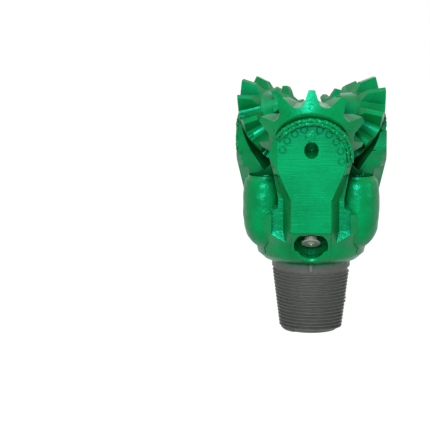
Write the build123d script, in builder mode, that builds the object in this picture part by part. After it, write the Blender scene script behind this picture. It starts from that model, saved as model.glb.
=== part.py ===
"""Tricone (three-cone) milled-tooth drill bit, 8 3/4 in, with a 4 1/2 REG pin, standing on its pin.

Millimetres, +Z up through the cones, origin on the bit axis in the plane of the make-up shoulder.
Each leg set is drawn once at azimuth 0, with its outer face towards +X, and turned to its place.
"""
from build123d import *
from math import cos, hypot, pi, radians, sin, sqrt, tan
import os

# Bit
leg_azimuths = (-90, 30, 150)
gauge_radius = 111.125
journal_angle = 33.0
apex_height = 235.5
cut_overrun = 1.0

# Pin and make-up shoulder (4 1/2 REG)
pin_length = 107.95
pin_major_radius = 58.74
pin_cylinder_radius = 57.34
pin_cylinder_length = 12.7
pin_taper = 0.125
thread_depth = 3.0
pin_end_chamfer = 5.0
water_bore_radius = 28.575
shoulder_radius = 67.7

# Body
body_neck_radius = 78.0
body_neck_height = 9.0
body_waist_radius = 83.0
body_waist_height = 30.0
body_skirt_radius = 97.0
body_skirt_height = 50.0
body_slope_height = 74.0
body_dome_radius = 60.0
body_dome_height = 106.0
body_crown_height = 113.0
plenum_radius = 36.0
plenum_floor = 40.0
plenum_height = 66.0
plenum_crown = 80.0

# Arm and shirttail
face_distance = 98.5
arm_back_distance = 35.0
arm_bevel_depth = 14.5
shirttail_center_height = 159.0
shirttail_radius = 61.0
face_half_width = 29.0
face_bottom_height = 52.0
face_taper_bottom = 98.0
face_taper_top = 146.0
face_shoulder_half_width = 50.0
arm_half_width = 48.0
arm_shoulder_half_width = 57.0
arm_gauge_relief = 1.2
lip_width = 10.5
hardfacing_thickness = 2.5
hardfacing_proud = 0.9
hardfacing_start = -62.0
hardfacing_end = 96.0

# Nozzle boss and jet nozzle
boss_circle = 77.0
boss_radius = 27.0
boss_top_height = 124.0
boss_rounding = 7.0
boss_straight_length = 11.0
boss_shoulder_share = 0.95
boss_belly_share = 0.78
boss_foot_share = 0.3
boss_foot_height = 27.0
nozzle_radius = 16.65
nozzle_length = 27.0
nozzle_entry_radius = 12.0
nozzle_throat_radius = 6.35
nozzle_exit_radius = 8.0
nozzle_recess = 7.0
pocket_clearance = 0.1
retainer_radius = 19.3
retainer_opening = 13.5
retainer_thickness = 5.5
retainer_notch = 5.0
passage_radius = 12.5
passage_drop = 14.0
nozzle_seal_section = 1.2
nozzle_seal_drop = 14.0

# Grease reservoir
reservoir_tilt = 18.0
reservoir_start = (86.0, 44.0)
relief_radius = 23.0
relief_run_out = 70.0
relief_depth = 9.0
reservoir_radius = 15.5
reservoir_depth = 64.0
canister_wall = 1.4
canister_clearance = 0.15
diaphragm_wall = 1.8
diaphragm_clearance = 0.3
cap_thickness = 6.0
cap_neck_radius = 9.0
cap_neck_height = 6.0
cap_neck_bevel = 1.0
cap_vent_radius = 2.2
cap_clearance = 0.15
snap_ring_thickness = 1.8
snap_ring_width = 3.0
snap_ring_groove = 1.5
snap_ring_gap = 40.0

# Journal bearing: distances along the journal axis from the apex, radii from that axis
cone_back = 97.2
leg_back = 97.8
seal_land_radius = 33.25
seal_land_start = 90.0
roller_radius = 5.5
roller_count = 18
roller_circle = 33.0
roller_length = 15.6
bearing_clearance = 0.15
flange_radius = 29.7
flange_length = 4.0
ball_radius = 6.35
ball_count = 12
ball_circle = 26.0
ball_station = 63.5
race_land_step = 1.4
thrust_step = 55.6
thrust_washer_thickness = 1.5
thrust_washer_radius = 24.0
pilot_radius = 14.55
pilot_end = 42.2
bushing_wall = 2.8
pilot_end_gap = 0.6
seal_section = 2.88
seal_clearance = 0.1
cone_pocket_clearance = 3.6
pilot_chamfer = 1.0

# Ball plug and journal centre hole
plug_radius = 6.45
plug_height = 192.5
plug_weld_radius = 9.0
plug_weld_depth = 3.0
plug_weld_proud = 0.5
plug_weld_rounding = 0.4
plug_clearance = 0.1
plug_overrun = 10.0
centre_hole_radius = 10.3
centre_hole_depth = 13.0

# Inserts
insert_radius = 4.0
insert_length = 8.0
insert_proud = 0.5
insert_bevel = 0.4
insert_clearance = 0.02
insert_circle = 43.5
insert_left_start = -14.0
insert_left_count = 4
insert_right_start = 16.0
insert_right_count = 5
insert_pitch = 19.5

# Weld seam between neighbouring legs
seam_half_angle = 3.0
seam_depth = 4.0
seam_proud = 0.8
seam_bottom = 3.0
seam_top = 29.0

# Cones: rim, tooth tip and gap bottom of the heel row, then the rows, as (station, radius) pairs
rim = (96.5, 54.0)
heel_tip = (76.0, 78.2)
heel_gap = (90.8, 60.8)
rim_bevel = 1.1
gap_floor_share = 0.30
crest_share = 0.10
gap_reach = 14.0
gap_overrun = 2.0
ring_sink = 4.0
gauge_insert_share = 0.86
gauge_insert_proud = 0.4
gauge_insert_bevel = 0.3

# One entry for each cone: nose and shell outline, then rows of (inner end, crest, outer end, teeth)
cone_forms = (
    {
        "shell": ((8.0, 0), (8.0, 3.0), (26.0, 19.0), (41.0, 28.5), (54.0, 38.0), (64.0, 47.5)),
        "heel": ((64.0, 47.5), (66.0, 65.8)),
        "heel_teeth": 10,
        "rows": (
            (((42.0, 24.0), (44.0, 51.5), (51.5, 56.5), (54.0, 34.0)), (42.0, 28.0), (54.0, 37.5), 8),
            (((8.0, 0.0), (8.0, 4.5), (25.0, 22.6), (27.0, 10.0)), (6.0, 1.0), (27.0, 13.0), 4),
        ),
    },
    {
        "shell": ((27.0, 0), (27.0, 15.0), (35.5, 26.0), (54.0, 38.5), (57.5, 41.0)),
        "heel": ((56.5, 41.0), (58.5, 59.0)),
        "heel_teeth": 10,
        "rows": (
            (
                ((27.0, 0.0), (27.0, 22.0), (28.2, 31.0), (34.0, 32.8), (36.0, 20.0)),
                (26.0, 12.0),
                (36.0, 25.0),
                6,
            ),
        ),
    },
    {
        "shell": ((34.0, 0), (34.0, 23.5), (45.5, 33.0), (56.0, 40.5), (61.0, 45.0)),
        "heel": ((60.5, 44.5), (62.3, 62.0)),
        "heel_teeth": 11,
        "rows": (
            (
                ((34.0, 0.0), (34.0, 33.0), (35.5, 40.3), (42.6, 43.6), (45.5, 25.0)),
                (33.0, 20.0),
                (46.0, 32.0),
                7,
            ),
        ),
    },
)

beta = radians(journal_angle)
bore_axis = Axis((0, 0, apex_height), (cos(beta), 0, -sin(beta)))
# In this plane a sketch's X is the station along the journal axis and its Y the radius from it.
journal_section = Plane(origin=(0, 0, apex_height), x_dir=(cos(beta), 0, -sin(beta)), z_dir=(0, -1, 0))


def journal_plane(station):
    """Plane square to the journal axis, its X pointing up and outwards."""
    origin = (station * cos(beta), 0, apex_height - station * sin(beta))
    return Plane(origin=origin, x_dir=(sin(beta), 0, cos(beta)), z_dir=(cos(beta), 0, -sin(beta)))


def journal_point(station, radius):
    """Point in the leg's middle plane, given along and above the journal axis."""
    x = station * cos(beta) + radius * sin(beta)
    return (x, 0, apex_height - station * sin(beta) + radius * cos(beta))


def save_three(part, name):
    """Turns the piece to each leg's azimuth and writes the three copies."""
    for number, azimuth in enumerate(leg_azimuths, start=1):
        save(part, f"{name}_{number}", azimuth)


def save(part, name, azimuth):
    """Turns one piece about the bit axis, labels it and writes it."""
    turned = part.rotate(Axis.Z, azimuth)
    turned.label = name
    export_step(turned, f"parts/{name}.step")


def upright(azimuth):
    """Plane through the bit axis with its X along the azimuth and its Y up."""
    return Plane.XZ.rotated((0, 0, azimuth))


def boss_centre(azimuth):
    return (boss_circle * cos(radians(azimuth)), boss_circle * sin(radians(azimuth)))


os.makedirs("parts", exist_ok=True)

# ---- Body blank: pin, make-up shoulder and crown, turned about the bit axis ----
pin_tip_radius = pin_major_radius - pin_taper * pin_length - thread_depth
pin_top_radius = pin_major_radius - pin_taper * pin_cylinder_length - thread_depth
with BuildPart() as body_blank:
    with BuildSketch(Plane.XZ):
        with BuildLine():
            Polyline(
                (0, -pin_length),
                (pin_tip_radius - pin_end_chamfer, -pin_length),
                (pin_tip_radius, -pin_length + pin_end_chamfer),
                (pin_top_radius, -pin_cylinder_length - thread_depth),
                (pin_cylinder_radius, -pin_cylinder_length),
                (pin_cylinder_radius, 0),
                (shoulder_radius, 0),
                (body_neck_radius, body_neck_height),
                (body_waist_radius, body_waist_height),
                (body_skirt_radius, body_skirt_height),
                (body_skirt_radius, body_slope_height),
                (body_dome_radius, body_dome_height),
                (0, body_crown_height),
                (0, -pin_length),
            )
        make_face()
    revolve(axis=Axis.Z)

# ---- Arm with the flat outer face and its side bevels ----
arm_outer_radius = gauge_radius - arm_gauge_relief


def arm_outline(distance, half_width, shoulder_half_width, bottom):
    """Sketch of the arm square to its outer face: straight flanks, a taper and the round shirttail."""
    top = shirttail_center_height
    with BuildSketch(Plane.YZ.offset(distance)) as outline:
        with BuildLine():
            Polyline(
                (-shirttail_radius, top),
                (-shoulder_half_width, face_taper_top),
                (-half_width, face_taper_bottom),
                (-half_width, bottom),
                (half_width, bottom),
                (half_width, face_taper_bottom),
                (shoulder_half_width, face_taper_top),
                (shirttail_radius, top),
            )
            ThreePointArc((shirttail_radius, top), (0, top + shirttail_radius), (-shirttail_radius, top))
        make_face()
    return outline.sketch


bevel_start = face_distance - arm_bevel_depth
arm_back_outline = arm_outline(bevel_start, arm_half_width, arm_shoulder_half_width, body_skirt_height)
arm_face_outline = arm_outline(face_distance, face_half_width, face_shoulder_half_width, face_bottom_height)
lip_inner_radius = shirttail_radius - lip_width


def lip_band(depth):
    """Ring sector round the shirttail's edge, standing square to the outer face."""
    first = radians(90 - hardfacing_end)
    last = radians(90 - hardfacing_start)
    middle = (first + last) / 2
    top = shirttail_center_height

    def rim_point(radius, angle):
        return (radius * cos(angle), top + radius * sin(angle))

    with BuildSketch(Plane.YZ.offset(face_distance - depth)) as band:
        with BuildLine():
            ThreePointArc(*(rim_point(shirttail_radius, angle) for angle in (first, middle, last)))
            Line(rim_point(shirttail_radius, last), rim_point(lip_inner_radius, last))
            ThreePointArc(*(rim_point(lip_inner_radius, angle) for angle in (last, middle, first)))
            Line(rim_point(lip_inner_radius, first), rim_point(shirttail_radius, first))
        make_face()
    return band.sketch


with BuildPart() as arm:
    extrude(arm_back_outline, amount=arm_bevel_depth + arm_back_distance - face_distance)
    loft([arm_back_outline, arm_face_outline], ruled=True)
    extrude(lip_band(arm_bevel_depth), amount=gauge_radius - bevel_start)
    with BuildSketch(Plane.XY):
        Circle(arm_outer_radius)
    extrude(amount=2 * apex_height, mode=Mode.INTERSECT)

# ---- Nozzle boss: a domed post that swells out of the skirt ----
boss_azimuth = -60
nozzle_top = boss_top_height - nozzle_recess
nozzle_seat = nozzle_top - nozzle_length
pocket_radius = nozzle_radius + pocket_clearance


def boss(azimuth):
    """Solid boss standing on its circle at the given azimuth."""
    x, y = boss_centre(azimuth)
    with BuildPart() as post:
        with BuildSketch(Plane(origin=(x, y, 0), x_dir=(1, 0, 0), z_dir=(0, -1, 0))):
            with BuildLine():
                Polyline(
                    (0, boss_foot_height),
                    (boss_radius * boss_foot_share, boss_foot_height),
                    (boss_radius * boss_belly_share, body_skirt_height),
                    (boss_radius * boss_shoulder_share, body_slope_height),
                    (boss_radius, boss_top_height - boss_rounding - boss_straight_length),
                    (boss_radius, boss_top_height - boss_rounding),
                )
                RadiusArc(
                    (boss_radius, boss_top_height - boss_rounding),
                    (boss_radius - boss_rounding, boss_top_height),
                    -boss_rounding,
                )
                Polyline(
                    (boss_radius - boss_rounding, boss_top_height),
                    (0, boss_top_height),
                    (0, boss_foot_height),
                )
            make_face()
        revolve(axis=Axis((x, y, 0), (0, 0, 1)))
    return post.part


def nozzle_bore(azimuth):
    """Cutter for the jet nozzle's pocket, its retainer and the mud passage from the plenum."""
    x, y = boss_centre(azimuth)
    seal_height = nozzle_top - nozzle_seal_drop
    seal_groove = pocket_radius + 2 * nozzle_seal_section
    with BuildPart() as bore:
        with BuildSketch(Plane(origin=(x, y, 0), x_dir=(1, 0, 0), z_dir=(0, -1, 0))):
            with BuildLine():
                Polyline(
                    (0, nozzle_seat - passage_drop),
                    (passage_radius, nozzle_seat - passage_drop),
                    (passage_radius, nozzle_seat),
                    (pocket_radius, nozzle_seat),
                    (pocket_radius, seal_height - nozzle_seal_section),
                    (seal_groove, seal_height - nozzle_seal_section),
                    (seal_groove, seal_height + nozzle_seal_section),
                    (pocket_radius, seal_height + nozzle_seal_section),
                    (pocket_radius, nozzle_top),
                    (retainer_radius + pocket_clearance, nozzle_top),
                    (retainer_radius + pocket_clearance, boss_top_height + cut_overrun),
                    (0, boss_top_height + cut_overrun),
                    (0, nozzle_seat - passage_drop),
                )
            make_face()
        revolve(axis=Axis((x, y, 0), (0, 0, 1)))
        start = Vector(0, 0, (plenum_floor + plenum_height) / 2)
        finish = Vector(x, y, nozzle_seat - passage_drop / 2)
        with BuildSketch(Plane(origin=start, z_dir=finish - start)):
            Circle(passage_radius)
        extrude(amount=(finish - start).length)
    return bore.part


# ---- Water bore and plenum ----
with BuildPart() as plenum:
    with BuildSketch(Plane.XZ):
        with BuildLine():
            Polyline(
                (0, -pin_length - cut_overrun),
                (water_bore_radius, -pin_length - cut_overrun),
                (water_bore_radius, plenum_floor),
                (plenum_radius, plenum_floor + plenum_radius - water_bore_radius),
                (plenum_radius, plenum_height),
                (plenum_radius / 2, plenum_crown),
                (0, plenum_crown),
                (0, -pin_length - cut_overrun),
            )
        make_face()
    revolve(axis=Axis.Z)

# ---- Grease reservoir: run-out, bore and snap ring groove, all on one tilted axis ----
tilt = radians(reservoir_tilt)
reservoir_direction = Vector(-sin(tilt), 0, cos(tilt))
reservoir_origin = Vector(reservoir_start[0], 0, reservoir_start[1])
reservoir_section = Plane(origin=reservoir_origin, x_dir=(cos(tilt), 0, sin(tilt)), z_dir=(0, -1, 0))
reservoir_axis = Axis(reservoir_origin, reservoir_direction)
cap_outer = relief_depth + snap_ring_thickness + 2 * cap_clearance + snap_ring_groove
cap_inner = cap_outer + cap_thickness


def reservoir_turned(points):
    """Solid turned about the reservoir axis from (radius, depth) points."""
    with BuildPart() as turned:
        with BuildSketch(reservoir_section):
            with BuildLine():
                Polyline(*points, close=True)
            make_face()
        revolve(axis=reservoir_axis)
    return turned.part


snap_ring_outer = reservoir_radius + snap_ring_groove
snap_ring_start = relief_depth + snap_ring_groove
reservoir_bore = reservoir_turned((
    (0, -relief_run_out),
    (relief_radius, -relief_run_out),
    (relief_radius, relief_depth),
    (reservoir_radius, relief_depth),
    (reservoir_radius, snap_ring_start),
    (snap_ring_outer + cap_clearance, snap_ring_start),
    (snap_ring_outer + cap_clearance, snap_ring_start + snap_ring_thickness + cap_clearance),
    (reservoir_radius, snap_ring_start + snap_ring_thickness + cap_clearance),
    (reservoir_radius, reservoir_depth),
    (0, reservoir_depth),
))


# ---- Journal: seal land, roller race, ball race, thrust step and pilot pin ----
race_radius = roller_circle - roller_radius - bearing_clearance
cone_race_radius = roller_circle + roller_radius + bearing_clearance
flange_start = seal_land_start - roller_length - 2 * bearing_clearance - flange_length
ball_land_radius = ball_circle - race_land_step
race_section = ball_radius + bearing_clearance
race_half_width = sqrt(race_section**2 - race_land_step**2)
with BuildPart() as ball_race:
    with BuildSketch(journal_section):
        with Locations((ball_station, ball_circle)):
            Circle(race_section)
    revolve(axis=bore_axis)

with BuildPart() as journal:
    with BuildSketch(journal_section):
        with BuildLine():
            Polyline(
                (leg_back + cut_overrun, 0),
                (leg_back + cut_overrun, seal_land_radius),
                (seal_land_start, seal_land_radius),
                (seal_land_start, race_radius),
                (flange_start + flange_length, race_radius),
                (flange_start + flange_length, flange_radius),
                (flange_start, flange_radius),
                (flange_start, ball_land_radius),
                (ball_station + race_half_width, ball_land_radius),
            )
            ThreePointArc(
                (ball_station + race_half_width, ball_land_radius),
                (ball_station, ball_circle - race_section),
                (ball_station - race_half_width, ball_land_radius),
            )
            Polyline(
                (ball_station - race_half_width, ball_land_radius),
                (thrust_step, ball_land_radius),
                (thrust_step, pilot_radius),
                (pilot_end + pilot_chamfer, pilot_radius),
                (pilot_end, pilot_radius - pilot_chamfer),
                (pilot_end, 0),
                (leg_back + cut_overrun, 0),
            )
        make_face()
    revolve(axis=bore_axis)

# ---- Ball plug: rod down the ball hole and the weld that closes it, flush in the outer face ----
plug_drop = apex_height - plug_height
plug_station = face_distance * cos(beta) + plug_drop * sin(beta)
plug_offset = face_distance * sin(beta) - plug_drop * cos(beta)
plug_plane = Plane(
    origin=journal_point(plug_station + plug_overrun, plug_offset),
    x_dir=(sin(beta), 0, cos(beta)),
    z_dir=(-cos(beta), 0, sin(beta)),
)
plug_face = Plane(origin=(face_distance, 0, plug_height), x_dir=(0, 1, 0), z_dir=(1, 0, 0))
plug_reach = plug_station + plug_overrun - ball_station
with BuildPart() as plug_hole:
    with BuildSketch(plug_plane):
        Circle(plug_radius + plug_clearance)
    extrude(amount=plug_reach)
    with BuildSketch(plug_face):
        Circle(plug_weld_radius)
    extrude(amount=-plug_weld_depth)

with BuildPart() as ball_plug:
    with BuildSketch(plug_plane):
        Circle(plug_radius)
    extrude(amount=plug_reach - plug_clearance)
    with BuildSketch(plug_face.offset(-plug_weld_depth)):
        Circle(2 * plug_weld_radius)
    extrude(amount=4 * plug_overrun, mode=Mode.SUBTRACT)
    add(ball_race.part, mode=Mode.SUBTRACT)
    with BuildSketch(plug_face.offset(-plug_weld_depth)):
        Circle(plug_weld_radius)
    extrude(amount=plug_weld_depth + plug_weld_proud)
    fillet(ball_plug.faces().sort_by(Axis.X)[-1].edges(), radius=plug_weld_rounding)

# ---- Shirttail inserts: flush buttons on an arc round the journal centre ----
insert_angles = [insert_left_start - insert_pitch * index for index in range(insert_left_count)]
insert_angles += [insert_right_start + insert_pitch * index for index in range(insert_right_count)]
insert_places = [
    (insert_circle * sin(radians(angle)), shirttail_center_height + insert_circle * cos(radians(angle)))
    for angle in insert_angles
]
with BuildPart() as insert_holes:
    with BuildSketch(Plane.YZ.offset(face_distance)):
        with Locations(*insert_places):
            Circle(insert_radius + insert_clearance)
    extrude(amount=-insert_length)

with BuildPart() as shirttail_inserts:
    with BuildSketch(Plane.YZ.offset(face_distance - insert_length)):
        with Locations(*insert_places):
            Circle(insert_radius)
    extrude(amount=insert_length + insert_proud)
    chamfer(shirttail_inserts.faces().filter_by(Axis.X).group_by(Axis.X)[-1].edges(), length=insert_bevel)
save_three(shirttail_inserts.part, "shirttail_inserts")

# ---- Hardfacing bead on the shirttail's edge ----
bead_outer_radius = arm_outer_radius + hardfacing_proud
bead_inner_radius = arm_outer_radius - hardfacing_thickness
with BuildPart() as hardfacing:
    extrude(lip_band(arm_bevel_depth), amount=gauge_radius - bevel_start)
    with BuildSketch(Plane.XY):
        Circle(bead_outer_radius)
        Circle(bead_inner_radius, mode=Mode.SUBTRACT)
    extrude(amount=2 * apex_height, mode=Mode.INTERSECT)
save_three(hardfacing.part, "shirttail_hardfacing")

# ---- Weld seam: groove along the joint of two legs, filled by a slightly proud bead ----
def seam_ring(azimuth, proud):
    """Short turned sector that follows the neck of the body across one joint."""
    slope = (body_waist_radius - body_neck_radius) / (body_waist_height - body_neck_height)
    bottom_radius = body_neck_radius + slope * seam_bottom
    top_radius = body_neck_radius + slope * (seam_top - body_neck_height)
    with BuildPart() as ring:
        with BuildSketch(upright(azimuth - seam_half_angle)):
            with BuildLine():
                Polyline(
                    (body_neck_radius - seam_depth, body_neck_height + seam_bottom),
                    (bottom_radius + proud, body_neck_height + seam_bottom),
                    (top_radius + proud, seam_top),
                    (top_radius - seam_depth, seam_top),
                    close=True,
                )
            make_face()
        revolve(axis=Axis.Z, revolution_arc=2 * seam_half_angle)
    return ring.part


sector_azimuth = 60
with BuildPart() as leg:
    add(body_blank.part)
    add(arm.part)
    reach = 2 * gauge_radius
    side = reach * sqrt(3)
    with BuildSketch(Plane.XY.offset(-pin_length - cut_overrun)):
        Polygon((0, 0), (reach, -side), (reach, side), align=None)
    extrude(amount=2 * apex_height, mode=Mode.INTERSECT)
    add(boss(boss_azimuth))
    add(boss(-boss_azimuth), mode=Mode.SUBTRACT)
    for azimuth in (boss_azimuth, -boss_azimuth):
        add(nozzle_bore(azimuth), mode=Mode.SUBTRACT)
        add(seam_ring(azimuth, 2 * seam_proud), mode=Mode.SUBTRACT)
    add(plenum.part, mode=Mode.SUBTRACT)
    add(reservoir_bore, mode=Mode.SUBTRACT)
    with BuildSketch(journal_plane(leg_back)):
        Circle(heel_tip[1] + cone_pocket_clearance)
    extrude(amount=-2 * leg_back, mode=Mode.SUBTRACT)
    add(journal.part)
    add(plug_hole.part, mode=Mode.SUBTRACT)
    add(insert_holes.part, mode=Mode.SUBTRACT)
    add(hardfacing.part, mode=Mode.SUBTRACT)
    floor_station = face_distance / cos(beta) - centre_hole_depth
    with BuildSketch(journal_plane(floor_station)):
        Circle(centre_hole_radius)
    extrude(amount=4 * centre_hole_depth, mode=Mode.SUBTRACT)
save_three(leg.part, "leg")
save_three(ball_plug.part, "ball_plug")

with BuildPart() as weld_seam:
    add(seam_ring(sector_azimuth, seam_proud))
save_three(weld_seam.part, "weld_seam")

# ---- Jet nozzle, its seal and its retainer ----
nozzle_x, nozzle_y = boss_centre(boss_azimuth)
nozzle_axis = Axis((nozzle_x, nozzle_y, 0), (0, 0, 1))
nozzle_section = Plane(origin=(nozzle_x, nozzle_y, 0), x_dir=(1, 0, 0), z_dir=(0, -1, 0))
with BuildPart() as nozzle:
    with BuildSketch(nozzle_section):
        with BuildLine():
            Polyline(
                (nozzle_entry_radius, nozzle_seat),
                (nozzle_radius, nozzle_seat),
                (nozzle_radius, nozzle_top),
                (nozzle_exit_radius, nozzle_top),
                (nozzle_throat_radius, nozzle_top - nozzle_length / 4),
                (nozzle_throat_radius, nozzle_top - nozzle_length / 2),
            )
            Line((nozzle_throat_radius, nozzle_top - nozzle_length / 2), (nozzle_entry_radius, nozzle_seat))
        make_face()
    revolve(axis=nozzle_axis)
save_three(nozzle.part, "nozzle")

with BuildPart() as nozzle_seal:
    with BuildSketch(nozzle_section):
        with Locations((pocket_radius + nozzle_seal_section, nozzle_top - nozzle_seal_drop)):
            Circle(nozzle_seal_section - pocket_clearance / 2)
    revolve(axis=nozzle_axis)
save_three(nozzle_seal.part, "nozzle_seal")

with BuildPart() as nozzle_retainer:
    with BuildSketch(Plane(origin=(nozzle_x, nozzle_y, nozzle_top))):
        Circle(retainer_radius)
        Circle(retainer_opening, mode=Mode.SUBTRACT)
    extrude(amount=retainer_thickness)
    with BuildSketch(Plane(origin=(nozzle_x, nozzle_y, nozzle_top + retainer_thickness))):
        with PolarLocations(retainer_opening, 4):
            Rectangle(retainer_notch, retainer_notch)
    extrude(amount=-retainer_thickness / 2, mode=Mode.SUBTRACT)
save_three(nozzle_retainer.part, "nozzle_retainer")

# ---- Grease reservoir: canister, rubber diaphragm, cap and snap ring ----
canister_radius = reservoir_radius - canister_clearance
canister_bore = canister_radius - canister_wall
save_three(
    reservoir_turned((
        (canister_bore, cap_inner),
        (canister_radius, cap_inner),
        (canister_radius, reservoir_depth),
        (cap_vent_radius, reservoir_depth),
        (cap_vent_radius, reservoir_depth - canister_wall),
        (canister_bore, reservoir_depth - canister_wall),
    )),
    "reservoir_canister",
)

diaphragm_radius = canister_bore - diaphragm_clearance
diaphragm_tip = diaphragm_radius / 2
diaphragm_crown = reservoir_depth - canister_wall - diaphragm_tip
save_three(
    reservoir_turned((
        (diaphragm_radius - diaphragm_wall, cap_inner + cap_clearance),
        (diaphragm_radius, cap_inner + cap_clearance),
        (diaphragm_radius, diaphragm_crown - diaphragm_tip),
        (diaphragm_tip, diaphragm_crown),
        (0, diaphragm_crown),
        (0, diaphragm_crown - diaphragm_wall),
        (diaphragm_tip - diaphragm_wall / 2, diaphragm_crown - diaphragm_wall),
        (diaphragm_radius - diaphragm_wall, diaphragm_crown - diaphragm_tip - diaphragm_wall / 2),
    )),
    "reservoir_diaphragm",
)

cap_radius = reservoir_radius - cap_clearance
save_three(
    reservoir_turned((
        (cap_vent_radius, cap_outer - cap_neck_height),
        (cap_neck_radius - cap_neck_bevel, cap_outer - cap_neck_height),
        (cap_neck_radius, cap_outer - cap_neck_height + cap_neck_bevel),
        (cap_neck_radius, cap_outer),
        (cap_radius, cap_outer),
        (cap_radius, cap_inner),
        (cap_vent_radius, cap_inner),
    )),
    "reservoir_cap",
)

with BuildPart() as snap_ring:
    ring_plane = Plane(
        origin=reservoir_origin + reservoir_direction * (snap_ring_start + cap_clearance / 2),
        x_dir=(cos(tilt), 0, sin(tilt)),
        z_dir=reservoir_direction,
    )
    with BuildSketch(ring_plane):
        Circle(snap_ring_outer)
        Circle(snap_ring_outer - snap_ring_width, mode=Mode.SUBTRACT)
        half_gap = snap_ring_outer * tan(radians(snap_ring_gap / 2))
        Polygon((0, 0), (2 * snap_ring_outer, -2 * half_gap), (2 * snap_ring_outer, 2 * half_gap),
                align=None, mode=Mode.SUBTRACT)
    extrude(amount=snap_ring_thickness)
save_three(snap_ring.part, "reservoir_snap_ring")

# ---- Bearing pieces ----
roller_start = flange_start + flange_length + bearing_clearance
with BuildPart() as rollers:
    with BuildSketch(journal_plane(roller_start)):
        with PolarLocations(roller_circle, roller_count):
            Circle(roller_radius)
    extrude(amount=roller_length)
save_three(rollers.part, "rollers")

with BuildPart() as ball:
    Sphere(ball_radius)
ball_places = PolarLocations(ball_circle, ball_count)
ball_frame = journal_plane(ball_station).location
balls = [ball.part.moved(ball_frame * place) for place in ball_places]
save_three(Compound(balls), "balls")

bushing_radius = pilot_radius + bearing_clearance + bushing_wall
bore_end = pilot_end - pilot_end_gap
washer_back = thrust_step - bearing_clearance
washer_front = washer_back - thrust_washer_thickness
with BuildPart() as nose_bushing:
    with BuildSketch(journal_plane(bore_end)):
        Circle(bushing_radius)
        Circle(bushing_radius - bushing_wall, mode=Mode.SUBTRACT)
    extrude(amount=washer_front - bore_end)
save_three(nose_bushing.part, "nose_bushing")

with BuildPart() as thrust_washer:
    with BuildSketch(journal_plane(washer_front)):
        Circle(thrust_washer_radius)
        Circle(pilot_radius + bearing_clearance, mode=Mode.SUBTRACT)
    extrude(amount=thrust_washer_thickness)
save_three(thrust_washer.part, "thrust_washer")

seal_circle = seal_land_radius + seal_clearance + seal_section
gland_radius = seal_circle + seal_section + seal_clearance
with BuildPart() as cone_seal:
    with BuildSketch(journal_section):
        with Locations((cone_back - seal_section - seal_clearance, seal_circle)):
            Circle(seal_section)
    revolve(axis=bore_axis)
save_three(cone_seal.part, "cone_seal")

# ---- Cones ----
cone_land_radius = ball_circle + race_land_step
flange_bore_radius = flange_radius + 2 * bearing_clearance
gauge_run = (rim[0] - heel_gap[0], rim[1] - heel_gap[1])
gauge_length = hypot(*gauge_run)
rim_edge = (cone_back, rim[1] - rim_bevel)
bearing_bore = (
    (bore_end, 0),
    (bore_end, bushing_radius),
    (washer_front, bushing_radius),
    (washer_front, cone_land_radius),
    (flange_start - bearing_clearance, cone_land_radius),
    (flange_start - bearing_clearance, flange_bore_radius),
    (flange_start + flange_length, flange_bore_radius),
    (flange_start + flange_length, cone_race_radius),
    (seal_land_start, cone_race_radius),
    (seal_land_start, gland_radius),
    (cone_back, gland_radius),
)


def beyond(first, last, overrun):
    """Point past last on the line from first."""
    share = 1 + overrun / (last[0] - first[0])
    return (first[0] + (last[0] - first[0]) * share, first[1] + (last[1] - first[1]) * share)


def tooth_row(outline, root_inner, root_outer, teeth):
    """Ring of milled teeth: the row's swept form less one tapered, round-bottomed gap between teeth."""
    crest = max(radius / station for station, radius in outline if radius > root_outer[1])
    gap_ends = (beyond(root_inner, root_outer, gap_overrun), beyond(root_outer, root_inner, -gap_overrun))

    def gap_profile(station, root):
        half_pitch = pi * crest * station / teeth
        floor = half_pitch * gap_floor_share
        top = root + gap_reach + (crest * station - root)
        flare = half_pitch * (1 - crest_share)
        spread = floor + (flare - floor) * (top - root) / (crest * station - root)
        plane = Plane(journal_plane(station).origin, x_dir=(0, 1, 0), z_dir=(-cos(beta), 0, sin(beta)))
        with BuildSketch(plane) as profile:
            with BuildLine():
                ThreePointArc((-floor, root + floor / 3), (0, root), (floor, root + floor / 3))
                Polyline((floor, root + floor / 3), (spread, top), (-spread, top), (-floor, root + floor / 3))
            make_face()
        return profile.sketch

    with BuildPart() as gap:
        loft([gap_profile(*gap_end) for gap_end in gap_ends], ruled=True)
    with BuildPart() as row:
        with BuildSketch(journal_section):
            with BuildLine():
                Polyline(*outline, close=True)
            make_face()
        revolve(axis=bore_axis)
        for index in range(teeth):
            turned = gap.part.rotate(bore_axis, 360 / teeth * (index + 0.5))
            add(turned, mode=Mode.SUBTRACT)
    return row.part


def gauge_plugs(teeth, radius, proud):
    """Plugs set square into the gauge face, one under each heel tooth."""
    station = rim[0] - gauge_run[0] * gauge_insert_share
    offset = rim[1] - gauge_run[1] * gauge_insert_share
    out_station = -gauge_run[1] / gauge_length
    out_offset = gauge_run[0] / gauge_length
    across = Vector(journal_point(station + out_station, offset + out_offset))
    centre = Vector(journal_point(station, offset))
    with BuildPart() as plug:
        with BuildSketch(Plane(origin=centre, x_dir=(0, 1, 0), z_dir=across - centre).offset(proud)):
            Circle(radius)
        extrude(amount=-insert_length - proud)
        chamfer(plug.faces().sort_by(SortBy.DISTANCE)[-1].edges(), length=gauge_insert_bevel)
    return [plug.part.rotate(bore_axis, 360 / teeth * index) for index in range(teeth)]


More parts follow.
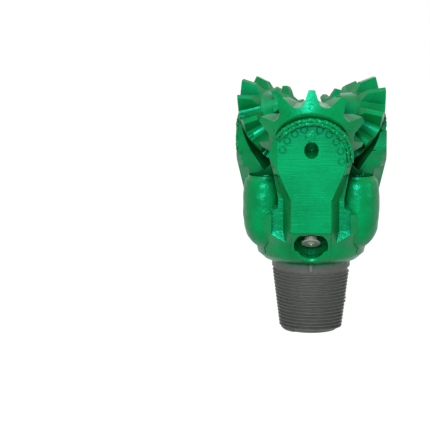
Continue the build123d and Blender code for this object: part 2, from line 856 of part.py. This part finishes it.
for number, form in enumerate(cone_forms, start=1):
    heel_inner, heel_crest = form["heel"]
    heel_floor = ((heel_gap[0], heel_gap[1] - ring_sink), (heel_inner[0], heel_inner[1] - ring_sink))
    heel_outline = (heel_inner, heel_crest, heel_tip, heel_gap, *heel_floor)
    heel = tooth_row(heel_outline, heel_inner, heel_gap, form["heel_teeth"])
    with BuildPart() as cone:
        with BuildSketch(journal_section):
            with BuildLine():
                Polyline(*form["shell"], heel_gap, rim, rim_edge, *reversed(bearing_bore), close=True)
            make_face()
        revolve(axis=bore_axis)
        add(heel)
        for outline, root_inner, root_outer, teeth in form["rows"]:
            add(tooth_row(outline, root_inner, root_outer, teeth))
        with BuildSketch(journal_section):
            with BuildLine():
                Polyline(*bearing_bore, (cone_back, 0), close=True)
            make_face()
        revolve(axis=bore_axis, mode=Mode.SUBTRACT)
        add(ball_race.part, mode=Mode.SUBTRACT)
        for hole in gauge_plugs(form["heel_teeth"], insert_radius + insert_clearance, 2 * gauge_insert_proud):
            add(hole, mode=Mode.SUBTRACT)
    azimuth = leg_azimuths[number - 1]
    save(cone.part, f"cone_{number}", azimuth)
    plugs = gauge_plugs(form["heel_teeth"], insert_radius, gauge_insert_proud)
    save(Compound(plugs), f"gauge_inserts_{number}", azimuth)
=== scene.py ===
import math

import bmesh
import bpy
from mathutils import Matrix, Vector, noise


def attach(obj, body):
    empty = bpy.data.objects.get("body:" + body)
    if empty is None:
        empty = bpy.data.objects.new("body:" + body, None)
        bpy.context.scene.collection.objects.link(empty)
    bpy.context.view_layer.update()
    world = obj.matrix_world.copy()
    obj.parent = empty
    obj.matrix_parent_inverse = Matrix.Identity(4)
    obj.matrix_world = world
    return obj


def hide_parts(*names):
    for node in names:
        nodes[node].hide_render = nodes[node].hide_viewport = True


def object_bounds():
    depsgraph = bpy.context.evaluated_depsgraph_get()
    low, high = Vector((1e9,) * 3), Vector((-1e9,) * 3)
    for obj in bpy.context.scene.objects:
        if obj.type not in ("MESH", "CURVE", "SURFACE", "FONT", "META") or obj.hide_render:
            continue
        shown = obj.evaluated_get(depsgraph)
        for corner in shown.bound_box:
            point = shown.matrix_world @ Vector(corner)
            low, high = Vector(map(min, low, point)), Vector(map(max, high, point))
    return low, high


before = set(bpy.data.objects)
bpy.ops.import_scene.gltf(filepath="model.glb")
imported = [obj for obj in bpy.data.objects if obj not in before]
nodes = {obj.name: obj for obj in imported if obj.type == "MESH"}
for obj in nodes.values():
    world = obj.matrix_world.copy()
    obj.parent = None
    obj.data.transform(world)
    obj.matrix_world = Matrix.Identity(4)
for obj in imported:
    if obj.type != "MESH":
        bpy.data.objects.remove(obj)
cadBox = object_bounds()
legAngles = {1: -90.0, 2: 30.0, 3: 150.0}   # where each leg's outer face looks, in degrees about the bit's axis
print("frame:", len(nodes), "CAD nodes")

# ---- camera ----
cameraSet = {
    "distance": 4.448,      # metres from the bit's axis
    "height": 0.822,        # above the make-up shoulder
    "aimSide": -1.82,       # degrees to the left of the axis
    "aimDown": 9.71,        # degrees below the horizon
    "lens": 257.0,          # millimetres, as the sensor's width is
    "sensor": 36.0,
    "clip": (0.05, 60.0),
}
cameraData = bpy.data.cameras.new("studioCamera")
cameraData.sensor_width = cameraSet["sensor"]
cameraData.lens = cameraSet["lens"]
cameraData.clip_start, cameraData.clip_end = cameraSet["clip"]
camera = bpy.data.objects.new("studioCamera", cameraData)
camera.location = (0.0, -cameraSet["distance"], cameraSet["height"])
camera.rotation_euler = (math.radians(90.0 - cameraSet["aimDown"]), 0.0, math.radians(-cameraSet["aimSide"]))
bpy.context.scene.collection.objects.link(camera)
bpy.context.scene.camera = camera
bpy.context.scene.view_settings.view_transform = "Standard"

# ---- studio ----
studioSet = {
    "worldStrength": 0.06,
    "worldColor": "#f4f6f8",
    "floorColor": "#6f7271",
    "floorSize": 9.0,
    "lampAim": (0.0, 0.0, 0.08),    # where every lamp points
    # lamp: place, size, watts
    "lamps": {
        "keyLamp": ((-0.35, -2.6, 0.9), 0.7, 82.0),
        "fillLamp": ((2.0, -1.1, 0.6), 0.6, 7.0),
        "topLamp": ((-0.2, -0.3, 2.3), 0.8, 11.0),
        "rearLamp": ((0.2, 2.4, 1.2), 1.6, 6.0),
    },
}


def linear(hexColor):
    # sRGB hex to the linear colour that Blender's sockets take
    parts = [int(hexColor[i:i + 2], 16) / 255.0 for i in (1, 3, 5)]
    return tuple(c / 12.92 if c <= 0.04045 else ((c + 0.055) / 1.055) ** 2.4 for c in parts) + (1.0,)


def addNode(tree, kind, settings=None, inputs=None):
    # one node, its settings, and its links or values
    node = tree.nodes.new("ShaderNode" + kind)
    for key, value in (settings or {}).items():
        setattr(node, key, value)
    for key, value in (inputs or {}).items():
        if isinstance(value, bpy.types.NodeSocket):
            tree.links.new(value, node.inputs[key])
        else:
            node.inputs[key].default_value = value
    return node


def newMaterial(name):
    material = bpy.data.materials.new(name)
    material.use_nodes = True
    material.node_tree.nodes.clear()
    return material, material.node_tree


def perMetre(millimetres):
    # a pattern's scale from the size of one of its cells
    return 1000.0 / millimetres


mixFactor, mixA, mixB, mixResult = 0, 6, 7, 2   # a colour Mix node's sockets


def seenDirectly(tree):
    # 1 for camera, mirror and glass rays, which all see the plain white background
    path = addNode(tree, "LightPath")
    mirrored = addNode(tree, "Math", {"operation": "MAXIMUM"},
                       {0: path.outputs["Is Glossy Ray"], 1: path.outputs["Is Transmission Ray"]})
    return addNode(tree, "Math", {"operation": "MAXIMUM"},
                   {0: path.outputs["Is Camera Ray"], 1: mirrored.outputs[0]}).outputs[0]


world = bpy.data.worlds.new("studioWorld")
world.use_nodes = True
world.node_tree.nodes.clear()
plainSky = addNode(world.node_tree, "Background", inputs={"Color": linear(studioSet["worldColor"]),
                                                          "Strength": studioSet["worldStrength"]})
whiteSky = addNode(world.node_tree, "Background", inputs={"Color": linear("#ffffff"), "Strength": 1.0})
skyMix = addNode(world.node_tree, "MixShader", inputs={0: seenDirectly(world.node_tree), 1: plainSky.outputs[0],
                                                       2: whiteSky.outputs[0]})
addNode(world.node_tree, "OutputWorld", inputs={"Surface": skyMix.outputs[0]})
bpy.context.scene.world = world

for lampName, (place, size, watts) in studioSet["lamps"].items():
    lampData = bpy.data.lights.new(lampName, "AREA")
    lampData.shape = "SQUARE"
    lampData.size = size
    lampData.energy = watts
    lamp = bpy.data.objects.new(lampName, lampData)
    lamp.location = place
    lamp.rotation_euler = (Vector(studioSet["lampAim"]) - Vector(place)).to_track_quat("-Z", "Y").to_euler()
    bpy.context.scene.collection.objects.link(lamp)

half = studioSet["floorSize"] / 2
floorMesh = bpy.data.meshes.new("studioFloor")
floorZ = cadBox[0].z
floorMesh.from_pydata([(-half, -half, floorZ), (half, -half, floorZ), (half, half, floorZ), (-half, half, floorZ)],
                      [], [(0, 1, 2, 3)])
floor = bpy.data.objects.new("studioFloor", floorMesh)
bpy.context.scene.collection.objects.link(floor)
floorPaint, tree = newMaterial("paintedStudioFloor")
shade = addNode(tree, "BsdfDiffuse", inputs={"Color": linear(studioSet["floorColor"])})
glow = addNode(tree, "Emission", inputs={"Color": linear("#ffffff"), "Strength": 1.0})
both = addNode(tree, "AddShader", inputs={0: shade.outputs[0], 1: glow.outputs[0]})
fromCamera = addNode(tree, "MixShader", inputs={0: seenDirectly(tree), 1: shade.outputs[0], 2: both.outputs[0]})
addNode(tree, "OutputMaterial", inputs={"Surface": fromCamera.outputs[0]})
floorMesh.materials.append(floorPaint)
print("camera, studio and floor made")

# ---- materials ----
enamelSet = {
    "deep": "#026f30",          # where the coat is thick
    "bright": "#02823f",        # where it is thin and even
    "pocket": "#02300e",        # painted shade: the dark colour put down in the corners where shade falls
    "sheen": "#2ff0c8",         # the colour of its reflections
    "roughness": (0.30, 0.44),
    "refraction": 1.5,
    "specular": 0.8,
    # cells of the patterns, in millimetres across
    "coatPatch": 38.0,
    "roughPatch": 9.0,
    "orangePeel": 2.6,
    "forgedDimple": 9.0,
    "millingStep": 2.2,         # between two passes of the face mill, drawn coarse so that it shows
    # how deep each pattern stands, in metres
    "peelDepth": 0.0005,
    "dimpleDepth": 0.002,
    "millingDepth": 0.0006,
    "millingStrength": 0.35,
    "faceDimple": 0.04,         # strength of the dimples on the milled faces
    "paintedShadeReach": 0.035,       # how near another surface must come before the painted shade darkens the enamel
    "faceDistance": 0.0980,     # just under the legs' flat outer faces, from the bit's axis
}
threadSteelSet = {
    "light": "#676a67",
    "dark": "#3b3e3b",
    "roughness": (0.46, 0.62),
    "metallic": 0.35,
    "toolMark": 2.4,            # millimetres
    "markStretch": (0.3, 0.3, 3.0),
    "markDepth": 0.35,
    "overspray": 0.010,         # how far the green mist reaches down from the shoulder
    "mistDrop": 1.4,            # millimetres
    "shoulder": 0.0004,
}
metalSet = {
    "edge": 0.0003,             # radius of its worn edges
    "grainDepth": 0.0003,
}


def grainOf(tree, place, cell, detail, roughness=0.5):
    # noise whose cells have a size in millimetres
    return addNode(tree, "TexNoise", inputs={"Vector": place, "Scale": perMetre(cell), "Detail": detail,
                                             "Roughness": roughness}).outputs[0]


def spread(tree, value, low, high, start=0.0, end=1.0):
    # takes low to high over to start to end
    return addNode(tree, "MapRange", inputs={0: value, 1: low, 2: high, 3: start, 4: end}).outputs[0]


def calculated(tree, operation, first, second, clamped=False):
    return addNode(tree, "Math", {"operation": operation, "use_clamp": clamped}, {0: first, 1: second}).outputs[0]


def mixed(tree, factor, first, second):
    # one colour turning into another
    return addNode(tree, "Mix", {"data_type": "RGBA"}, {mixFactor: factor, mixA: first,
                                                        mixB: second}).outputs[mixResult]


def bumped(tree, height, strength, distance, normal=None):
    inputs = {"Strength": strength, "Distance": distance, "Height": height}
    if normal is not None:
        inputs["Normal"] = normal
    return addNode(tree, "Bump", inputs=inputs).outputs[0]


def softEdge(tree, radius):
    return addNode(tree, "Bevel", {"samples": 4}, {"Radius": radius}).outputs[0]


def enamelShader(tree, place, dimple, peel, edge, milled=False):
    # alkyd machinery enamel sprayed wet over forged steel: deep green, glossy, slightly dimpled, soft at the edges,
    # with painted shade darkening it in its corners and creases
    patch = spread(tree, grainOf(tree, place, enamelSet["coatPatch"], 3.0, 0.55), 0.35, 0.65)
    coat = mixed(tree, patch, linear(enamelSet["deep"]), linear(enamelSet["bright"]))
    # painted shade: ambient occlusion turns the enamel towards the dark shade colour where other surfaces come near
    corner = addNode(tree, "AmbientOcclusion", {"samples": 6}, {"Distance": enamelSet["paintedShadeReach"]})
    paintedShadeOpenness = spread(tree, corner.outputs["AO"], 0.3, 0.95)
    colour = mixed(tree, paintedShadeOpenness, linear(enamelSet["pocket"]), coat)
    rough = spread(tree, grainOf(tree, place, enamelSet["roughPatch"], 4.0), 0.3, 0.7, *enamelSet["roughness"])
    normal = softEdge(tree, edge)
    depth = dimple
    if milled:
        # the flat outer faces are milled, so they have fine level lines and none of the forging's dimples
        reach = []
        for angle in legAngles.values():
            facing = (math.cos(math.radians(angle)), math.sin(math.radians(angle)), 0.0)
            reach.append(addNode(tree, "VectorMath", {"operation": "DOT_PRODUCT"}, {0: place, 1: facing}).outputs[1])
        outer = calculated(tree, "MAXIMUM", calculated(tree, "MAXIMUM", reach[0], reach[1]), reach[2])
        onFace = calculated(tree, "GREATER_THAN", outer, enamelSet["faceDistance"])
        depth = spread(tree, onFace, 0.0, 1.0, dimple, enamelSet["faceDimple"])
        level = addNode(tree, "Mapping", inputs={"Vector": place, "Scale": (0.05, 0.05, 1.0)}).outputs[0]
        lines = grainOf(tree, level, enamelSet["millingStep"], 3.0)
        lineStrength = calculated(tree, "MULTIPLY", onFace, enamelSet["millingStrength"])
        normal = bumped(tree, lines, lineStrength, enamelSet["millingDepth"], normal)
    dimples = grainOf(tree, place, enamelSet["forgedDimple"], 3.0, 0.6)
    normal = bumped(tree, dimples, depth, enamelSet["dimpleDepth"], normal)
    drops = grainOf(tree, place, enamelSet["orangePeel"], 1.0)
    normal = bumped(tree, drops, peel, enamelSet["peelDepth"], normal)
    return addNode(tree, "BsdfPrincipled", inputs={"Base Color": colour, "Roughness": rough,
                                                   "IOR": enamelSet["refraction"],
                                                   "Specular IOR Level": enamelSet["specular"],
                                                   "Specular Tint": linear(enamelSet["sheen"]),
                                                   "Normal": normal}).outputs[0]


def metalShader(tree, place, light, dark, roughness, metallic, cell, stretch, depth):
    # a machined or ground metal: streaks of one grain size along the tool's path
    along = addNode(tree, "Mapping", inputs={"Vector": place, "Scale": stretch}).outputs[0]
    grain = grainOf(tree, along, cell, 4.0)
    normal = bumped(tree, grain, depth, metalSet["grainDepth"], softEdge(tree, metalSet["edge"]))
    return addNode(tree, "BsdfPrincipled", inputs={"Base Color": mixed(tree, grain, linear(dark), linear(light)),
                                                   "Metallic": metallic,
                                                   "Roughness": spread(tree, grain, 0.3, 0.7, *roughness),
                                                   "Normal": normal}).outputs[0]


def threadSteelShader(tree, place):
    # alloy steel turned on a lathe, then phosphated so that the joint doesn't gall: dull dark grey, level tool marks
    t = threadSteelSet
    return metalShader(tree, place, t["light"], t["dark"], t["roughness"], t["metallic"], t["toolMark"],
                       t["markStretch"], t["markDepth"])


def finished(name, shaderMaker, *settings):
    # a material of one shader laid on the object's own coordinates
    material, tree = newMaterial(name)
    place = addNode(tree, "TexCoord").outputs["Object"]
    addNode(tree, "OutputMaterial", inputs={"Surface": shaderMaker(tree, place, *settings)})
    return material


def legFinish(name):
    # enamel on the body and bare phosphated steel on the pin, with a green mist below the shoulder
    material, tree = newMaterial(name)
    place = addNode(tree, "TexCoord").outputs["Object"]
    height = addNode(tree, "SeparateXYZ", inputs={0: place}).outputs[2]
    painted = enamelShader(tree, place, 0.55, 0.25, 0.0011, True)
    bare = threadSteelShader(tree, place)
    mist = grainOf(tree, place, threadSteelSet["mistDrop"], 4.0)
    mistReach = spread(tree, height, -threadSteelSet["overspray"], 0.0, -0.25, 0.62)
    speck = spread(tree, calculated(tree, "ADD", mist, mistReach, True), 0.42, 0.95, 0.0, 0.8)
    above = calculated(tree, "GREATER_THAN", height, -threadSteelSet["shoulder"])
    green = calculated(tree, "MAXIMUM", speck, above)
    both = addNode(tree, "MixShader", inputs={0: green, 1: bare, 2: painted})
    addNode(tree, "OutputMaterial", inputs={"Surface": both.outputs[0]})
    return material


def rubberShader(tree, place):
    # nitrile rubber from a mould: near black, matt, finely grained
    grain = grainOf(tree, place, 0.8, 3.0)
    return addNode(tree, "BsdfPrincipled", inputs={"Base Color": mixed(tree, grain, linear("#161616"),
                                                                       linear("#242424")),
                                                   "Roughness": 0.62,
                                                   "Normal": bumped(tree, grain, 0.3, 0.0002)}).outputs[0]


sprayedLeg = legFinish("sprayedForgingAndBarePin")
sprayedForging = finished("sprayedForgingEnamel", enamelShader, 0.5, 0.25, 0.0008)
sprayedCone = finished("sprayedConeEnamel", enamelShader, 0.22, 0.3, 0.0006)
sprayedWeld = finished("sprayedWeldEnamel", enamelShader, 0.8, 0.7, 0.0004)
threadSteel = finished("phosphatedThreadSteel", threadSteelShader)
# blasted steel cap: pale, dull, sandy grain
capSteel = finished("blastedCapSteel", metalShader, "#a2ab9f", "#76806f", (0.38, 0.55), 0.6, 1.5, (1, 1, 1), 0.4)
# through-hardened bearing steel, ground: bright, with fine level streaks
groundSteel = finished("groundBearingSteel", metalShader, "#c9ccd0", "#a9adb2", (0.12, 0.22), 1.0, 2.0, (1, 1, 5),
                       0.1)
# sintered tungsten carbide: dark grey, very fine grain
sinteredCarbide = finished("sinteredCarbide", metalShader, "#6c6e70", "#515355", (0.3, 0.45), 0.9, 0.8, (1, 1, 1),
                           0.2)
# bearing bronze, turned: warm yellow-brown, turning lines
turnedBronze = finished("turnedBronze", metalShader, "#b58a52", "#8d6a3c", (0.25, 0.4), 1.0, 2.0, (1, 1, 5), 0.2)
sealRubber = finished("mouldedNitrileRubber", rubberShader)
print("materials made")

finishes = {
    "leg": sprayedLeg, "ball_plug": sprayedWeld, "weld_seam": sprayedWeld, "nozzle": sinteredCarbide,
    "nozzle_seal": sealRubber, "nozzle_retainer": sprayedForging, "reservoir_canister": capSteel,
    "reservoir_diaphragm": sealRubber, "reservoir_cap": capSteel, "reservoir_snap_ring": capSteel,
    "shirttail_inserts": sprayedCone, "shirttail_hardfacing": sprayedWeld, "cone": sprayedCone,
    "gauge_inserts": sprayedCone, "cone_seal": sealRubber, "nose_bushing": turnedBronze,
    "thrust_washer": turnedBronze, "rollers": groundSteel, "balls": groundSteel,
}
for name, node in nodes.items():
    finish = finishes[name.rsplit("_", 1)[0]]
    if node.material_slots:
        for materialSlot in node.material_slots:
            materialSlot.material = finish
    else:
        node.data.materials.append(finish)
print("CAD nodes finished")


def addPiece(name, points, faces, material, body, smooth=True):
    # one mesh piece in the part's own frame, riding on a body
    mesh = bpy.data.meshes.new(name)
    mesh.from_pydata(points, [], faces)
    mesh.validate()
    mesh.materials.append(material)
    if smooth:
        mesh.shade_smooth()
    piece = bpy.data.objects.new(name, mesh)
    bpy.context.scene.collection.objects.link(piece)
    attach(piece, body)
    return piece


def tubeFaces(rings, around, closedRings=False):
    # quads between rings of points, each ring closed on itself
    faces = []
    for ring in range(rings if closedRings else rings - 1):
        after = (ring + 1) % rings
        for i in range(around):
            j = (i + 1) % around
            faces.append((ring * around + i, ring * around + j, after * around + j, after * around + i))
    return faces


# ---- forged legs: the CAD leg with the forging's fuller bosses, steep flanks and reservoir pocket ----
legSet = {
    # one flank cut: height, inner and outer distance from the middle, and depth, in metres
    "flank": ((0.016, 0.021, 0.029, 0.084), (0.030, 0.026, 0.036, 0.080), (0.050, 0.029, 0.0405, 0.072),
              (0.098, 0.029, 0.0405, 0.072), (0.134, 0.0448, 0.0515, 0.075)),
    "flankReach": 0.057,        # how far out sideways the flank cut goes
    "outside": 0.13,            # clear of the bit
    "flankFace": 0.09855,
    "bossCircle": 0.0790,
    "bossAngle": -60.0,         # from the leg's own direction, in degrees
    # the swelling round the nozzle boss: radius and height
    "boss": ((0.0020, 0.020), (0.0140, 0.026), (0.0230, 0.036), (0.0278, 0.048), (0.0300, 0.064), (0.0308, 0.082),
             (0.0304, 0.100), (0.0290, 0.114), (0.0268, 0.1205), (0.0240, 0.1234), (0.0215, 0.1234),
             (0.0215, 0.064), (0.0020, 0.040)),
    "bossDimple": 0.0007,
    # the block that closes the CAD pocket: its side as depth and height, and half its width
    "fill": ((0.058, 0.012), (0.0745, 0.012), (0.0815, 0.030), (0.0955, 0.0495), (0.0984, 0.0510), (0.0984, 0.0655),
             (0.058, 0.0655)),
    "fillHalf": 0.0284,
    "pocketPlace": (0.0773, 0.0368),
    "pocketTilt": 32.0,
    # the pocket's radius and distance out of its floor: round at the cap, then a channel that narrows
    "pocket": ((0.0, 0.0), (0.0247, 0.0), (0.0247, 0.0125), (0.0195, 0.0150), (0.0125, 0.0480), (0.0, 0.0480)),
    "recess": ((0.0, -0.011), (0.0205, -0.011), (0.0205, 0.001), (0.0, 0.001)),
    "sharpAngle": 20.0,         # edges sharper than this, in degrees, stay sharp
    "planeLimit": 0.9999,       # cosine above which a polygon counts as part of the milled face
    "normalWeight": 80,
}
latheSet = {
    "around": 72,
    "dimplesPerMetre": 95.0,
    "sharpAngle": 35.0,
    "joinDistance": 1e-6,
}


def lathe(name, origin, axis, profile, around=latheSet["around"], jitter=0.0):
    # solid turned about an axis from a closed loop of (radius, distance along) points
    axis = Vector(axis).normalized()
    across = axis.orthogonal().normalized()
    third = axis.cross(across)
    points = []
    for radius, along in profile:
        for step in range(around):
            angle = 2 * math.pi * step / around
            outward = across * math.cos(angle) + third * math.sin(angle)
            point = Vector(origin) + axis * along + outward * radius
            points.append(point + outward * jitter * noise.noise(point * latheSet["dimplesPerMetre"]))
    faces = tubeFaces(len(profile), around, closedRings=True)
    mesh = bpy.data.meshes.new(name)
    mesh.from_pydata(points, [], faces)
    return cleanSolid(name, mesh)


def cleanSolid(name, mesh):
    # an object with its seams joined and its normals outwards
    shape = bmesh.new()
    shape.from_mesh(mesh)
    bmesh.ops.remove_doubles(shape, verts=shape.verts, dist=latheSet["joinDistance"])
    bmesh.ops.recalc_face_normals(shape, faces=shape.faces)
    shape.to_mesh(mesh)
    shape.free()
    solid = bpy.data.objects.new(name, mesh)
    bpy.context.scene.collection.objects.link(solid)
    return solid


def layered(name, levels):
    # closed solid through rings with as many points each
    around = len(levels[0])
    faces = tubeFaces(len(levels), around)
    faces += [tuple(range(around)), tuple((len(levels) - 1) * around + i for i in range(around))]
    mesh = bpy.data.meshes.new(name)
    mesh.from_pydata([point for level in levels for point in level], [], faces)
    return cleanSolid(name, mesh)


def carve(solid, tool, operation):
    # joins or cuts one solid with another, and keeps the result
    cut = solid.modifiers.new("carve", "BOOLEAN")
    cut.operation = operation
    cut.solver = "EXACT"
    cut.object = tool
    result = bpy.data.meshes.new_from_object(solid.evaluated_get(bpy.context.evaluated_depsgraph_get()))
    solid.modifiers.clear()
    solid.data = result
    bpy.data.objects.remove(tool)


def smoothBoss(profile, steps=4):
    # rounds the boss's outline with points between the given ones
    rounded = []
    for k in range(len(profile)):
        a, b, c, d = (Vector(profile[(k + n) % len(profile)]) for n in (-1, 0, 1, 2))
        for step in range(steps):
            t = step / steps
            rounded.append(tuple(0.5 * (2 * b + (c - a) * t + (2 * a - 5 * b + 4 * c - d) * t * t
                                        + (3 * b - a - 3 * c + d) * t ** 3)))
    return rounded


def forgedLegMesh():
    # built once with the outer face towards +X, then turned to each leg's place
    leg = cleanSolid("forgedLeg", nodes["leg_1"].data.copy())
    leg.data.transform(Matrix.Rotation(math.radians(-legAngles[1]), 4, "Z"))
    half = legSet["fillHalf"]
    carve(leg, layered("fill", [[(x, y, z) for x, z in legSet["fill"]] for y in (-half, half)]), "UNION")
    angle = math.radians(legSet["bossAngle"])
    bossPlace = (legSet["bossCircle"] * math.cos(angle), legSet["bossCircle"] * math.sin(angle), 0.0)
    boss = lathe("boss", bossPlace, (0, 0, 1), smoothBoss(legSet["boss"]), jitter=legSet["bossDimple"])
    carve(leg, boss, "UNION")
    for side in (1, -1):
        reach = side * legSet["flankReach"]
        wedge = [[(legSet["flankFace"], side * inner, z), (depth, side * outer, z), (depth, reach, z),
                  (legSet["outside"], reach, z), (legSet["outside"], side * inner, z)]
                 for z, inner, outer, depth in legSet["flank"]]
        carve(leg, layered("flank", wedge), "DIFFERENCE")
    x, z = legSet["pocketPlace"]
    tilt = math.radians(legSet["pocketTilt"])
    out = (math.sin(tilt), 0.0, -math.cos(tilt))
    carve(leg, lathe("pocket", (x, 0, z), out, legSet["pocket"]), "DIFFERENCE")
    carve(leg, lathe("recess", (x, 0, z), out, legSet["recess"]), "DIFFERENCE")
    mesh = leg.data
    bpy.data.objects.remove(leg)
    return mesh


beadSet = {
    "centre": 0.159,        # height of the shirttail's centre
    "rows": ((0.0577, 0.0034), (0.0528, 0.0031)),   # distance from that centre, and thickness
    "depth": 0.1079,        # its middle, from the bit's axis
    "flatness": 0.8,        # how far it stands out for each unit of its thickness
    "arc": (-61.0, 95.0),
    "lump": 0.00168,
    "lumpSize": 0.0036,
    "steps": 300,
    "around": 14,
    "taper": 12,            # each end thins over one part in this many of the arc
    "tip": 0.12,
}
ringSet = {
    # paint that stands up round each shirttail insert: angles, circle, radii and height in metres
    "angles": tuple(-14 - 19.5 * k for k in range(4)) + tuple(16 + 19.5 * k for k in range(5)),
    "circle": 0.0435,
    "profile": ((0.0040, 0.0), (0.0042, 0.0007), (0.0048, 0.0009), (0.0055, 0.0004), (0.0058, -0.0002),
                (0.0040, -0.0002)),
    "around": 32,
}


def hardfacingRow(turn, radius, thickness):
    # one row of tungsten carbide weld, laid in lumps round the shirttail's edge
    points = []
    steps, around = beadSet["steps"], beadSet["around"]
    first, last = beadSet["arc"]
    for step in range(steps):
        along = step / (steps - 1)
        angle = math.radians(first + (last - first) * along)
        end = beadSet["tip"]
        if 0 < along < 1:
            end = min(1.0, beadSet["taper"] * along, beadSet["taper"] * (1 - along)) ** 0.5
        outward = Vector((0.0, math.sin(angle), math.cos(angle)))
        for k in range(around):
            turnAngle = 2 * math.pi * k / around
            aside = outward.y * radius
            point = Vector((math.sqrt(beadSet["depth"] ** 2 - aside ** 2), aside,
                            beadSet["centre"] + outward.z * radius))
            way = outward * math.cos(turnAngle) + Vector((beadSet["flatness"] * math.sin(turnAngle), 0.0, 0.0))
            spot = (point + way * thickness) / beadSet["lumpSize"]
            size = thickness * end + beadSet["lump"] * end * noise.noise(spot)
            points.append(turn @ (point + way * size))
    return points, tubeFaces(steps, around) + [tuple(range(around)),
                                               tuple((steps - 1) * around + k for k in range(around))]


capSet = {
    # the cap's stem, flange and vent, as radius and distance out of the pocket's floor
    "profile": ((0.0, -0.0108), (0.0092, -0.0108), (0.0092, 0.0022), (0.0130, 0.0024), (0.0137, 0.0030),
                (0.0137, 0.0042), (0.0130, 0.0048), (0.0056, 0.0048), (0.0046, 0.0058), (0.0030, 0.0058),
                (0.0026, 0.0050), (0.0022, 0.0030), (0.0, 0.0030)),
}
legMesh = forgedLegMesh()
tilt = math.radians(legSet["pocketTilt"])
for number, angle in legAngles.items():
    turn = Matrix.Rotation(math.radians(angle), 4, "Z")
    mesh = legMesh.copy()
    mesh.transform(turn)
    mesh.materials.clear()
    mesh.materials.append(sprayedLeg)
    mesh.shade_smooth()
    mesh.set_sharp_from_angle(angle=math.radians(legSet["sharpAngle"]))
    outerFace = turn @ Vector((1, 0, 0))
    for polygon in mesh.polygons:
        # the milled face is one plane, so it takes no shading from its neighbours
        polygon.use_smooth = polygon.normal.dot(outerFace) < legSet["planeLimit"]
    leg = bpy.data.objects.new(f"forged_leg_{number}", mesh)
    bpy.context.scene.collection.objects.link(leg)
    even = leg.modifiers.new("even", "WEIGHTED_NORMAL")
    even.mode = "FACE_AREA"
    even.weight = legSet["normalWeight"]
    even.keep_sharp = True
    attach(leg, "bit_body")
    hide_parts(f"leg_{number}")
    origin = turn @ Vector((legSet["pocketPlace"][0], 0.0, legSet["pocketPlace"][1]))
    cap = lathe(f"grease_cap_{number}", origin, turn @ Vector((math.sin(tilt), 0.0, -math.cos(tilt))),
                capSet["profile"])
    cap.data.materials.append(capSteel)
    cap.data.shade_smooth()
    cap.data.set_sharp_from_angle(angle=math.radians(latheSet["sharpAngle"]))
    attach(cap, "bit_body")
    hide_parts(f"reservoir_cap_{number}", f"reservoir_snap_ring_{number}")
    for row, (radius, thickness) in enumerate(beadSet["rows"]):
        points, faces = hardfacingRow(turn, radius, thickness)
        bead = addPiece(f"hardfacing_row_{number}_{row + 1}", points, faces, sprayedWeld, "bit_body")
        if row == 0:
            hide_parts(f"shirttail_hardfacing_{number}")
    for place, degrees in enumerate(ringSet["angles"]):
        turnAngle = math.radians(degrees)
        centre = Vector((legSet["flankFace"], ringSet["circle"] * math.sin(turnAngle),
                         beadSet["centre"] + ringSet["circle"] * math.cos(turnAngle)))
        rim = lathe(f"paint_rim_{number}_{place + 1}", turn @ centre, outerFace, ringSet["profile"],
                    ringSet["around"])
        rim.data.materials.append(sprayedForging)
        rim.data.shade_smooth()
        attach(rim, "bit_body")
print("forged legs, caps and hardfacing made")

# ---- pin thread ----
threadSet = {
    "pitch": 0.00508,
    "taper": 0.125,             # radius lost for each metre down the pin
    "majorRadius": 0.05874,     # crest of the thread at the shoulder's plane
    "depth": 0.0030,
    "rootSink": 0.0006,         # how far the ridge's foot goes into the pin
    "first": -0.0165,
    "last": -0.1062,
    "crestHalf": 0.00055,
    "footHalf": 0.0023,
    "stepsPerTurn": 120,
    "runOut": 0.5,              # turns over which the ridge rises and dies away
    "chamfer": 0.0052,
    "burrAngle": 4.0,           # a bruised crest on the pin's right side
    "burrTop": -0.060,
    "burrBottom": -0.071,
    "burrProud": 0.0016,
    "burrWidth": 9.0,           # degrees to each side
    "wear": 0.00012,
    "wearAround": 9,            # bruises of the wear round the pin and to the metre down it
    "wearDown": 400,
    "chamferSink": 0.0002,
}


def threadRidge(name):
    # the thread wound down the taper, worn on its crest and bruised in one place
    t = threadSet
    turns = (t["first"] - t["last"]) / t["pitch"]
    steps = int(turns * t["stepsPerTurn"])
    points = []
    for step in range(steps + 1):
        turn = step / t["stepsPerTurn"]
        angle = 2 * math.pi * turn
        middle = t["first"] - turn * t["pitch"]
        rise = min(1.0, turn / t["runOut"], (turns - turn) / t["runOut"])
        fromBurr = abs((math.degrees(angle) - t["burrAngle"] + 180.0) % 360.0 - 180.0)
        bruise = 0.0
        if t["burrBottom"] < middle < t["burrTop"]:
            bruise = t["burrProud"] * max(0.0, 1.0 - fromBurr / t["burrWidth"])
        wear = t["wear"] * noise.noise(Vector((math.cos(angle) * t["wearAround"], math.sin(angle) * t["wearAround"],
                                               middle * t["wearDown"])))
        for side, height in ((t["footHalf"], -t["rootSink"]), (t["crestHalf"], t["depth"] + bruise),
                             (-t["crestHalf"], t["depth"] + bruise), (-t["footHalf"], -t["rootSink"])):
            z = middle + side
            root = t["majorRadius"] + t["taper"] * z - t["depth"]
            lift = height * rise + wear if height > 0 else height
            endLimit = cadBox[0].z + t["chamfer"] - t["chamferSink"]
            if z < endLimit:
                lift = min(lift, t["depth"] - (endLimit - z))
            radius = root + lift
            points.append((radius * math.cos(angle), radius * math.sin(angle), z))
    faces = [(i * 4 + k, i * 4 + k + 1, i * 4 + k + 5, i * 4 + k + 4) for i in range(steps) for k in range(3)]
    faces += [(i * 4 + 3, i * 4, i * 4 + 4, i * 4 + 7) for i in range(steps)]
    faces += [(3, 2, 1, 0), tuple(steps * 4 + k for k in range(4))]
    return addPiece(name, points, faces, threadSteel, "bit_body", smooth=False)


threadRidge("pin_thread_ridge")
print("pin thread made")
